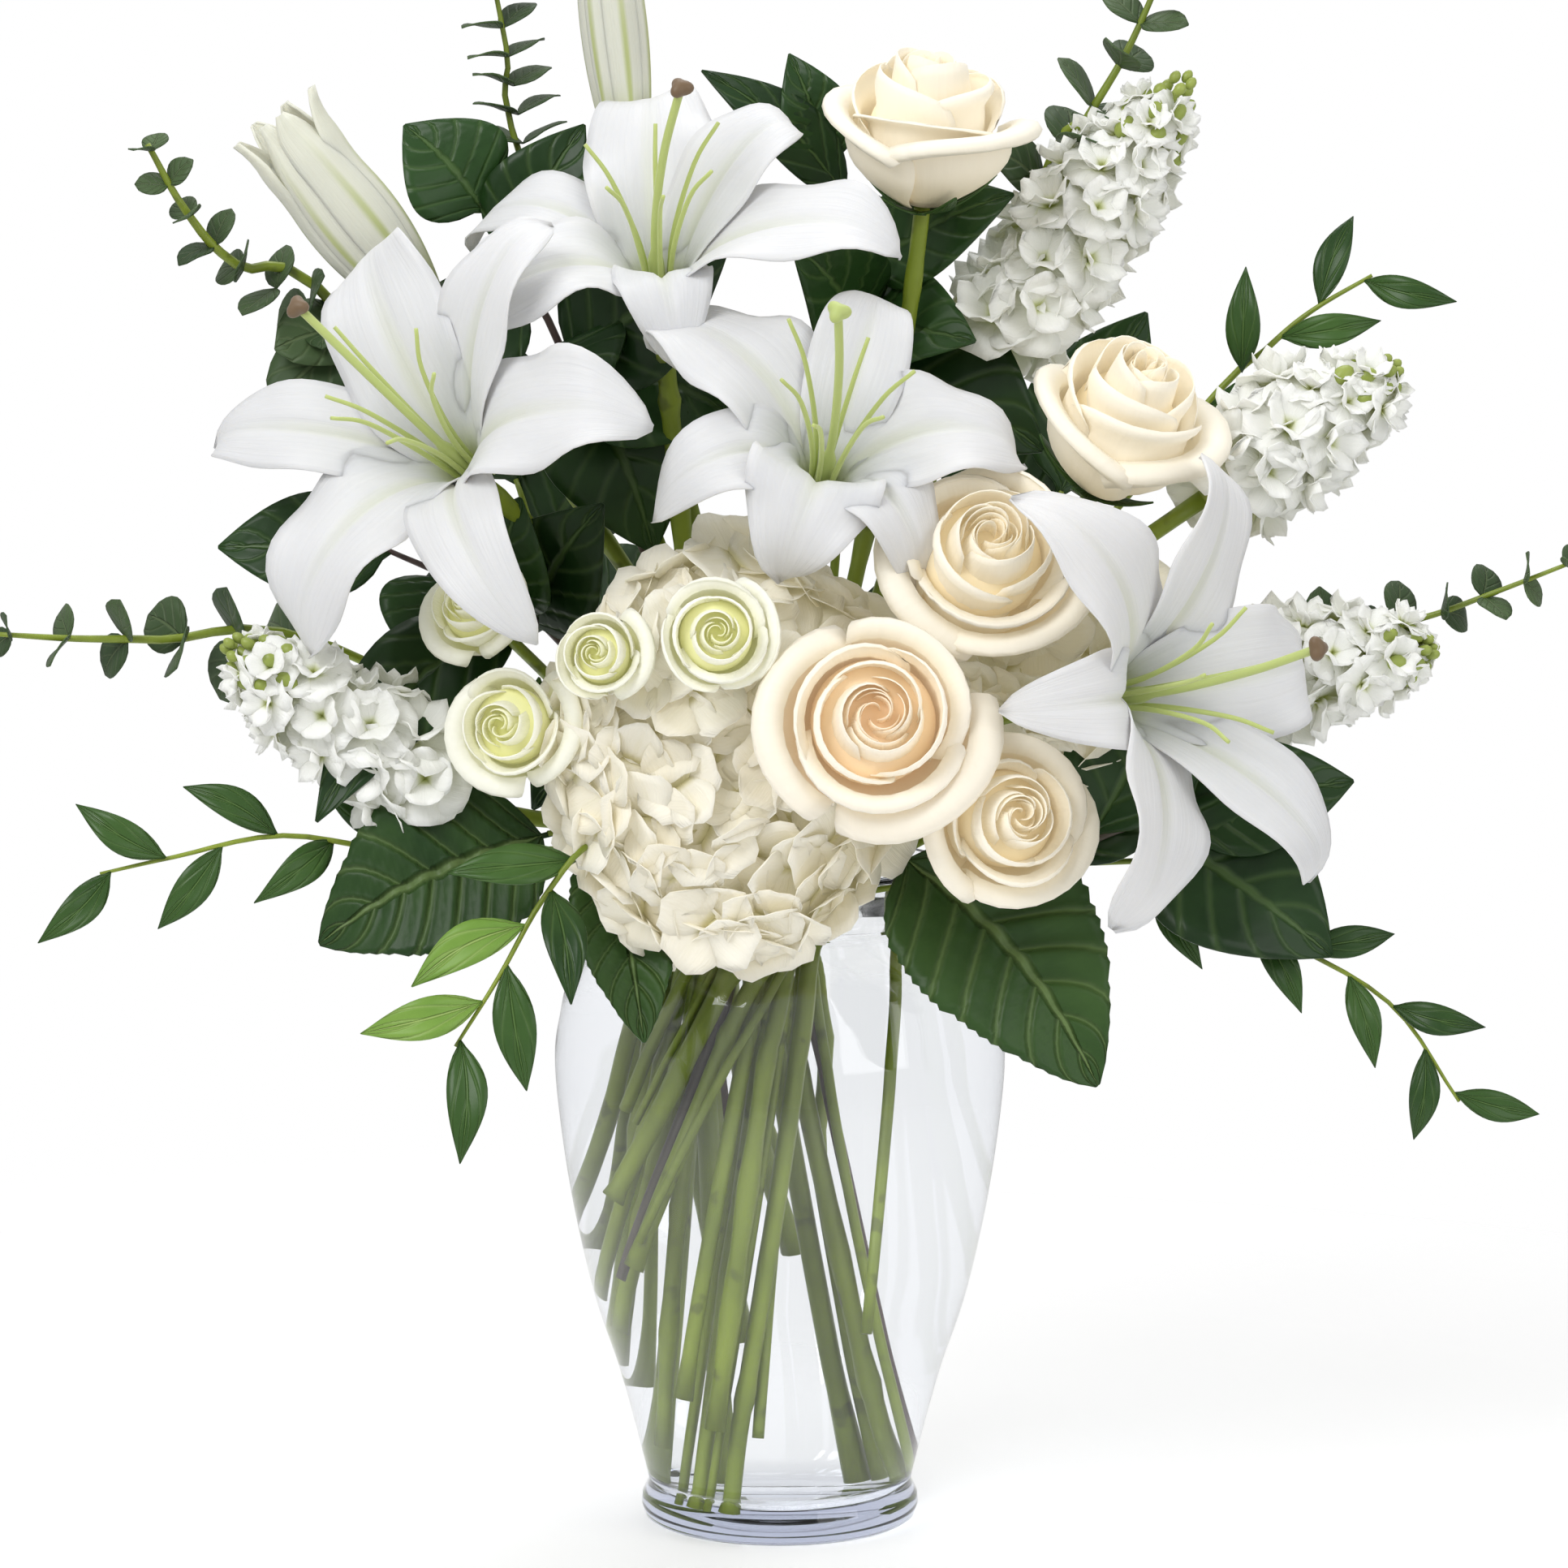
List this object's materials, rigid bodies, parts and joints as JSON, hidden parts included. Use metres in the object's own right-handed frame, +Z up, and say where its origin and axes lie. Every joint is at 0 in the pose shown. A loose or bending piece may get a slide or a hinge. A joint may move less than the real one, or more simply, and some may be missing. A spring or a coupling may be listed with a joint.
{
  "type": "cut flower arrangement in vase",
  "caption": "White lilies, cream roses, hydrangea, stock and greenery, hand tied and standing in a rounded clear glass vase with a narrow neck and foot.",
  "frame": {"origin": "centre of the vase's foot, on the surface that it stands on", "axes": "+Z up, the arrangement's front faces -Y, +X is its right side seen from the front"},
  "size_m": [0.5259, 0.2635, 0.5599],
  "materials": {
    "glass": "clear polished glass, thick at the foot",
    "stem": "olive green cut stems with nodes",
    "leaf": "dark green leaves, slightly waxy, with veins",
    "eucalyptus_leaf": "dull grey-green leaves",
    "bud": "closed petals, cream with yellow-green ribs",
    "lily_petal": "white petals with a pale green throat",
    "rose_petal": "cream petals, apricot towards the heart",
    "spray_rose_petal": "white petals, lime green towards the heart",
    "stock_petal": "white ruffled petals, yellow-green centres",
    "hydrangea_petal": "cream-white papery petals"
  },
  "bodies": {
    "root": {"eucalyptus_left": "eucalyptus_leaf", "eucalyptus_right": "eucalyptus_leaf", "eucalyptus_top": "eucalyptus_leaf", "eucalyptus_top_right": "eucalyptus_leaf", "eucalyptus_upper_left": "eucalyptus_leaf", "hydrangea_front": "hydrangea_petal", "hydrangea_front_stem": "stem", "hydrangea_leaf_left": "leaf", "hydrangea_leaf_right": "leaf", "hydrangea_right": "hydrangea_petal", "hydrangea_right_stem": "stem", "lily_bud_closed": "bud", "lily_bud_closed_stem": "stem", "lily_bud_half_open": "bud", "lily_bud_half_open_stem": "stem", "lily_left": "lily_petal", "lily_left_stem": "stem", "lily_middle": "lily_petal", "lily_middle_stem": "stem", "lily_right": "lily_petal", "lily_right_stem": "stem", "lily_top": "lily_petal", "lily_top_stem": "stem", "rose_lower_right": "rose_petal", "rose_lower_right_stem": "stem", "rose_middle": "rose_petal", "rose_middle_stem": "stem", "rose_right": "rose_petal", "rose_right_stem": "stem", "rose_top": "rose_petal", "rose_top_stem": "stem", "rose_upper_right": "rose_petal", "rose_upper_right_stem": "stem", "ruscus_left": "leaf", "ruscus_lower_left": "leaf", "ruscus_lower_right": "leaf", "ruscus_upper_right": "leaf", "salal_back_left": "leaf", "salal_back_right": "leaf", "salal_left": "leaf", "salal_right": "leaf", "salal_upper_left": "leaf", "salal_upper_right": "leaf", "spray_rose_left": "spray_rose_petal", "spray_rose_left_stem": "stem", "spray_rose_lower": "spray_rose_petal", "spray_rose_lower_stem": "stem", "spray_rose_middle": "spray_rose_petal", "spray_rose_middle_stem": "stem", "spray_rose_small": "spray_rose_petal", "spray_rose_small_stem": "stem", "stock_left": "stock_petal", "stock_left_stem": "stem", "stock_lower_right": "stock_petal", "stock_lower_right_stem": "stem", "stock_right": "stock_petal", "stock_right_stem": "stem", "stock_upper_right": "stock_petal", "stock_upper_right_stem": "stem", "vase": "glass"}
  },
  "joints": []
}
